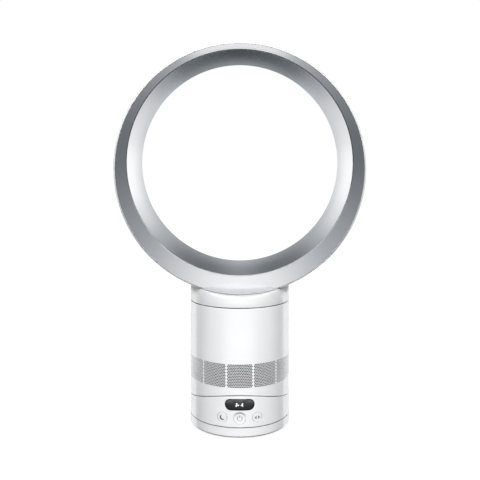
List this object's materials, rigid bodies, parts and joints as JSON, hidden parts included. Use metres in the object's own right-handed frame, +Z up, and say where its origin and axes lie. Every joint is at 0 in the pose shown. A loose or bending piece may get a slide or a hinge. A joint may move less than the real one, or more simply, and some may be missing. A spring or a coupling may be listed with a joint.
{
  "type": "tower fan",
  "caption": "Bladeless desk fan: a hollow loop with a bright inner face on a round white column that swings, tilts and draws air in through a perforated band.",
  "frame": {"origin": "centre of the foot on the surface it stands on, on the column's axis", "axes": "+Z up along the column, -Y the way the air blows and the display faces, +X to the viewer's right when the display is seen from the front"},
  "size_m": [0.3088, 0.1253, 0.4769],
  "materials": {
    "white_shell": "smooth satin-gloss white ABS",
    "silver_face": "bright silver lacquer on a moulded ring",
    "display_black": "glossy black window",
    "button_white": "smooth white button",
    "inner_plastic": "plain grey moulded plastic",
    "dark_plastic": "black moulded plastic",
    "low_friction": "natural acetal",
    "rubber_dark": "soft dark rubber",
    "board_green": "green circuit board",
    "steel": "ground steel"
  },
  "bodies": {
    "foot": {"foot_base": "white_shell", "power_socket": "dark_plastic", "foot_pads": "rubber_dark", "glide_blocks": "low_friction", "spindle_nut": "dark_plastic", "swing_gear": "low_friction"},
    "control_section": {"control_casing": "white_shell", "display_window": "display_black", "control_floor": "inner_plastic", "board_bracket": "inner_plastic", "display_board": "board_green", "switch_board": "board_green", "swing_motor": "inner_plastic", "tilt_cradle": "inner_plastic", "rail_keepers": "inner_plastic", "tilt_glides": "low_friction"},
    "pinion": {"drive_pinion": "low_friction"},
    "sleep_key": {"sleep_button": "button_white"},
    "power_key": {"power_button": "button_white"},
    "swing_key": {"swing_button": "button_white"},
    "body": {"body_casing": "white_shell", "body_base": "inner_plastic", "motor_board": "board_green", "isolators": "rubber_dark", "fan_housing": "inner_plastic", "diffuser": "inner_plastic", "duct_seal": "rubber_dark"},
    "wheel": {"impeller": "dark_plastic", "motor_shaft": "steel"},
    "loop": {"neck": "white_shell", "loop_outer_casing": "white_shell", "loop_front_casing": "silver_face"}
  },
  "joints": [
    {"name": "swing", "type": "hinge", "parent": "foot", "child": "control_section", "pos_m": [0, 0, 0.014], "axis": [0, 0, 1], "range_deg": [-45, 45]},
    {"name": "pinion_turn", "type": "hinge", "parent": "control_section", "child": "pinion", "pos_m": [0, 0.036, 0.0065], "axis": [0, 0, 1], "range_deg": [-230, 230]},
    {"name": "sleep_press", "type": "slide", "parent": "control_section", "child": "sleep_key", "axis": [0, 1, 0], "range_m": [0, 0.0006], "stiffness_N_per_m": 600},
    {"name": "power_press", "type": "slide", "parent": "control_section", "child": "power_key", "axis": [0, 1, 0], "range_m": [0, 0.0006], "stiffness_N_per_m": 600},
    {"name": "swing_press", "type": "slide", "parent": "control_section", "child": "swing_key", "axis": [0, 1, 0], "range_m": [0, 0.0006], "stiffness_N_per_m": 600},
    {"name": "tilt", "type": "hinge", "parent": "control_section", "child": "body", "pos_m": [0, 0, 0.1898], "axis": [1, 0, 0], "range_deg": [-10, 10]},
    {"name": "wheel_spin", "type": "hinge", "parent": "body", "child": "wheel", "pos_m": [0, 0, 0.11], "axis": [0, 0, 1], "continuous": true},
    {"name": "loop_twist", "type": "hinge", "parent": "body", "child": "loop", "pos_m": [0, 0, 0.1555], "axis": [0, 0, 1], "range_deg": [0, 15]}
  ],
  "couplings": [
    {"joint": "pinion_turn", "follows": "swing", "ratio": 5}
  ]
}
